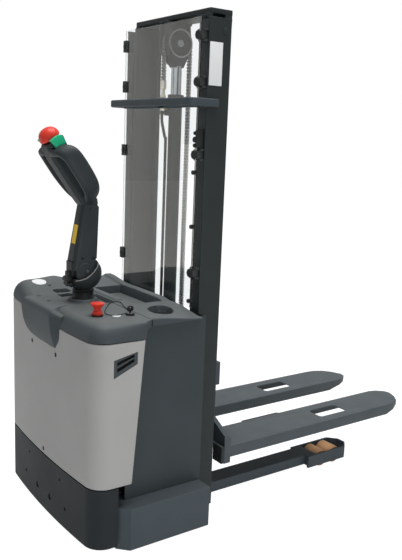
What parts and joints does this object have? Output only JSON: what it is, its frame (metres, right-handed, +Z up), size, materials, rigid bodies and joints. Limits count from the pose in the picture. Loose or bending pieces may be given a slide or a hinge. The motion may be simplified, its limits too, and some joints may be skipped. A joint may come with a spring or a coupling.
{
  "type": "electric stacker",
  "caption": "Pedestrian electric stacker: tiller-steered power unit, two-stage mast with chain lift, fork carriage and support legs with load rollers.",
  "frame": {"origin": "on the floor, in the middle of the overall length and width", "axes": "+X forward to the fork tips, +Y to the truck's left, +Z up"},
  "size_m": [1.8886, 0.866, 2.011],
  "materials": {
    "dark_frame_paint": "satin",
    "fork_paint": "satin",
    "grey_cover": "satin moulded",
    "dark_plastic": "grained",
    "tiller_plastic": "grained",
    "black_plastic": "matt",
    "red_plastic": "smooth",
    "green_plastic": "smooth",
    "bare_steel": "machined",
    "rod_chrome": "polished",
    "cast_iron": "as cast",
    "motor_paint": "satin",
    "fin_aluminium": "matt",
    "zinc_yellow": "passivated",
    "hose_rubber": "matt",
    "wheel_tread": "matt",
    "roller_polyurethane": "satin",
    "cord_fabric": "woven",
    "clear_sheet": "clear"
  },
  "bodies": {
    "chassis": {"base_frame": "dark_frame_paint", "side_box_left": "dark_frame_paint", "side_box_right": "dark_frame_paint", "rear_skirt": "dark_frame_paint", "support_leg_left": "dark_frame_paint", "support_leg_right": "dark_frame_paint", "side_panel_left": "dark_frame_paint", "side_panel_right": "dark_frame_paint", "rear_cover": "grey_cover", "top_cover": "dark_plastic", "vent_grilles": "dark_plastic", "battery": "black_plastic", "hydraulic_power_unit": "motor_paint", "motor_controller": "fin_aluminium", "outer_mast_left": "dark_frame_paint", "outer_mast_right": "dark_frame_paint", "mast_foot": "dark_frame_paint", "guard_bar": "dark_frame_paint", "lift_cylinder": "dark_frame_paint", "chain_anchor_bolt": "zinc_yellow", "hydraulic_hose": "hose_rubber", "shield": "clear_sheet", "shield_clips": "black_plastic", "console_fittings": "black_plastic", "cover_screws": "bare_steel", "load_roller_axles": "bare_steel", "chain_fixed_strand": "bare_steel", "key_lanyard": "cord_fabric"},
    "steering": {"drive_gearbox": "cast_iron", "drive_motor": "motor_paint", "steering_column": "bare_steel", "tiller_collar": "tiller_plastic"},
    "drive_wheel": {"drive_wheel": "wheel_tread"},
    "tiller": {"knuckle_cover": "tiller_plastic", "tiller_arm": "tiller_plastic", "tiller_head": "tiller_plastic"},
    "belly_button": {"belly_button": "red_plastic"},
    "throttle_butterfly": {"throttle_butterfly": "green_plastic"},
    "lift_rocker": {"lift_rocker": "tiller_plastic"},
    "e_stop_button": {"e_stop_button": "red_plastic"},
    "ignition_key": {"ignition_key": "bare_steel"},
    "inner_mast": {"inner_mast": "dark_frame_paint", "piston_rod": "rod_chrome", "chain_over_pulley": "bare_steel"},
    "pulley": {"pulley": "cast_iron"},
    "mast_rollers": {"mast_rollers": "bare_steel"},
    "carriage": {"carriage": "dark_frame_paint", "fork_left": "fork_paint", "fork_right": "fork_paint", "chain_carriage_strand": "bare_steel"},
    "carriage_rollers_upper": {"carriage_rollers_upper": "bare_steel"},
    "carriage_rollers_lower": {"carriage_rollers_lower": "bare_steel"},
    "caster_fork_left": {"caster_fork_left": "dark_frame_paint"},
    "caster_wheel_left": {"caster_wheel_left": "wheel_tread"},
    "caster_fork_right": {"caster_fork_right": "dark_frame_paint"},
    "caster_wheel_right": {"caster_wheel_right": "wheel_tread"},
    "load_roller_rear_left": {"load_roller_rear_left": "roller_polyurethane"},
    "load_roller_front_left": {"load_roller_front_left": "roller_polyurethane"},
    "load_roller_rear_right": {"load_roller_rear_right": "roller_polyurethane"},
    "load_roller_front_right": {"load_roller_front_right": "roller_polyurethane"}
  },
  "joints": [
    {"name": "steer", "type": "hinge", "parent": "chassis", "child": "steering", "pos_m": [-0.7555, 0, 0.3], "axis": [0, 0, 1], "range_deg": [-90, 90]},
    {"name": "drive_wheel_spin", "type": "hinge", "parent": "steering", "child": "drive_wheel", "pos_m": [-0.7555, 0, 0.105], "axis": [0, 1, 0], "continuous": true},
    {"name": "tiller_tilt", "type": "hinge", "parent": "steering", "child": "tiller", "pos_m": [-0.7615, 0, 1.003], "axis": [0, -1, 0], "range_deg": [0, 80], "stiffness_Nm_per_rad": 10, "springref_deg": -60.16},
    {"name": "belly_button_press", "type": "slide", "parent": "tiller", "child": "belly_button", "axis": [0.6561, 0, -0.7547], "range_m": [0, 0.006], "stiffness_N_per_m": 700, "springref_m": -0.006},
    {"name": "throttle_turn", "type": "hinge", "parent": "tiller", "child": "throttle_butterfly", "pos_m": [-0.87042, 0, 1.48111], "axis": [0, 1, 0], "range_deg": [-35, 35], "stiffness_Nm_per_rad": 0.8},
    {"name": "lift_rocker_tilt", "type": "hinge", "parent": "tiller", "child": "lift_rocker", "pos_m": [-0.79205, 0, 1.39553], "axis": [0, 1, 0], "range_deg": [-7, 7], "stiffness_Nm_per_rad": 1},
    {"name": "e_stop_press", "type": "slide", "parent": "chassis", "child": "e_stop_button", "axis": [0, 0, -1], "range_m": [0, 0.006]},
    {"name": "key_turn", "type": "hinge", "parent": "chassis", "child": "ignition_key", "pos_m": [-0.7045, -0.289, 0.895], "axis": [0, 0, 1], "range_deg": [0, 90]},
    {"name": "lift", "type": "slide", "parent": "chassis", "child": "inner_mast", "axis": [0, 0, 1], "range_m": [-0.086, 1.37], "deforming": ["chain_fixed_strand"]},
    {"name": "carriage_lift", "type": "slide", "parent": "inner_mast", "child": "carriage", "axis": [0, 0, 1], "range_m": [-0.086, 1.37], "deforming": ["chain_carriage_strand"]},
    {"name": "pulley_spin", "type": "hinge", "parent": "inner_mast", "child": "pulley", "pos_m": [-0.3445, 0, 1.906], "axis": [0, 1, 0], "range_deg": [-1282.5, 82.4]},
    {"name": "mast_rollers_spin", "type": "hinge", "parent": "inner_mast", "child": "mast_rollers", "pos_m": [-0.353, 0, 0.225], "axis": [0, 1, 0], "range_deg": [-2014.7, 128.3]},
    {"name": "carriage_rollers_lower_spin", "type": "hinge", "parent": "carriage", "child": "carriage_rollers_lower", "pos_m": [-0.353, 0, 0.3], "axis": [0, 1, 0], "range_deg": [-2014.7, 128.3]},
    {"name": "carriage_rollers_upper_spin", "type": "hinge", "parent": "carriage", "child": "carriage_rollers_upper", "pos_m": [-0.353, 0, 0.55], "axis": [0, 1, 0], "range_deg": [-128.3, 2014.7]},
    {"name": "caster_swivel_left", "type": "hinge", "parent": "chassis", "child": "caster_fork_left", "pos_m": [-0.6045, 0.3345, 0.17], "axis": [0, 0, 1], "continuous": true},
    {"name": "caster_roll_left", "type": "hinge", "parent": "caster_fork_left", "child": "caster_wheel_left", "pos_m": [-0.6395, 0.3345, 0.052], "axis": [0, 1, 0], "continuous": true},
    {"name": "caster_swivel_right", "type": "hinge", "parent": "chassis", "child": "caster_fork_right", "pos_m": [-0.6045, -0.3345, 0.17], "axis": [0, 0, 1], "continuous": true},
    {"name": "caster_roll_right", "type": "hinge", "parent": "caster_fork_right", "child": "caster_wheel_right", "pos_m": [-0.6395, -0.3345, 0.052], "axis": [0, 1, 0], "continuous": true},
    {"name": "load_roller_rear_left_spin", "type": "hinge", "parent": "chassis", "child": "load_roller_rear_left", "pos_m": [0.4035, 0.193, 0.04], "axis": [0, 1, 0], "continuous": true},
    {"name": "load_roller_front_left_spin", "type": "hinge", "parent": "chassis", "child": "load_roller_front_left", "pos_m": [0.4895, 0.193, 0.04], "axis": [0, 1, 0], "continuous": true},
    {"name": "load_roller_rear_right_spin", "type": "hinge", "parent": "chassis", "child": "load_roller_rear_right", "pos_m": [0.4035, -0.193, 0.04], "axis": [0, 1, 0], "continuous": true},
    {"name": "load_roller_front_right_spin", "type": "hinge", "parent": "chassis", "child": "load_roller_front_right", "pos_m": [0.4895, -0.193, 0.04], "axis": [0, 1, 0], "continuous": true}
  ],
  "couplings": [
    {"joint": "carriage_lift", "follows": "lift", "ratio": 1},
    {"joint": "pulley_spin", "follows": "lift", "rad_per_m": -16.313},
    {"joint": "mast_rollers_spin", "follows": "lift", "rad_per_m": -25.641},
    {"joint": "carriage_rollers_lower_spin", "follows": "lift", "rad_per_m": -25.641},
    {"joint": "carriage_rollers_upper_spin", "follows": "lift", "rad_per_m": 25.641}
  ]
}
